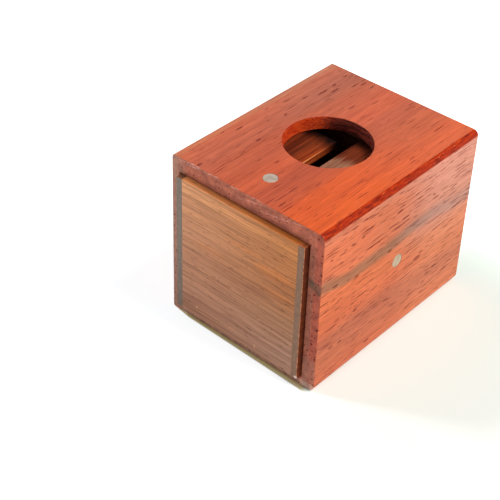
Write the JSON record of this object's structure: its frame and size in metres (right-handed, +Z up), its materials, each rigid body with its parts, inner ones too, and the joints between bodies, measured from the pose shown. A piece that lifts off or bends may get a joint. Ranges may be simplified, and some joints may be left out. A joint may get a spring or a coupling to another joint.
{
  "type": "puzzle box",
  "caption": "Small wooden puzzle box: a sleeve with a finger hole over a slotted sliding plate, a steel ball lock worked by the plate, and a short-stroke drawer.",
  "frame": {"origin": "centre of the sleeve's underside, the face that the box stands on", "axes": "X across the box, +Y from the drawer's front to the sleeve's closed back, +Z up through the finger hole"},
  "size_m": [0.041, 0.0531, 0.0412],
  "materials": {
    "padauk": "padauk, oiled and waxed, semi-gloss",
    "walnut": "walnut, oiled and waxed, semi-gloss",
    "steel": "sanded flush, matte",
    "ball_steel": "polished bearing ball"
  },
  "bodies": {
    "sleeve": {"sleeve_top": "padauk", "front_strip": "padauk", "sleeve_bottom": "padauk", "sleeve_left": "padauk", "sleeve_right": "padauk", "sleeve_back": "walnut", "top_pin": "steel", "left_pin": "steel", "right_pin": "steel", "runner_left": "walnut", "runner_right": "walnut", "lock_rail": "walnut"},
    "drawer": {"drawer_front": "walnut", "drawer_left": "walnut", "drawer_right": "walnut", "drawer_back": "walnut", "drawer_floor": "walnut"},
    "plate": {"plate_left": "walnut", "plate_right": "walnut", "plate_bridge": "walnut", "plate_cross": "walnut"},
    "ball": {"lock_ball": "ball_steel"}
  },
  "joints": [
    {"name": "drawer_slide", "type": "slide", "parent": "sleeve", "child": "drawer", "axis": [0, -1, 0], "range_m": [-0.0013, 0.018]},
    {"name": "plate_slide", "type": "slide", "parent": "sleeve", "child": "plate", "axis": [0, 1, 0], "range_m": [0, 0.004]},
    {"name": "ball_drop", "type": "slide", "parent": "sleeve", "child": "ball", "axis": [0, 0, -1], "range_m": [0, 0.0015]}
  ],
  "couplings": [
    {"joint": "ball_drop", "follows": "plate_slide", "ratio": 0.375}
  ]
}
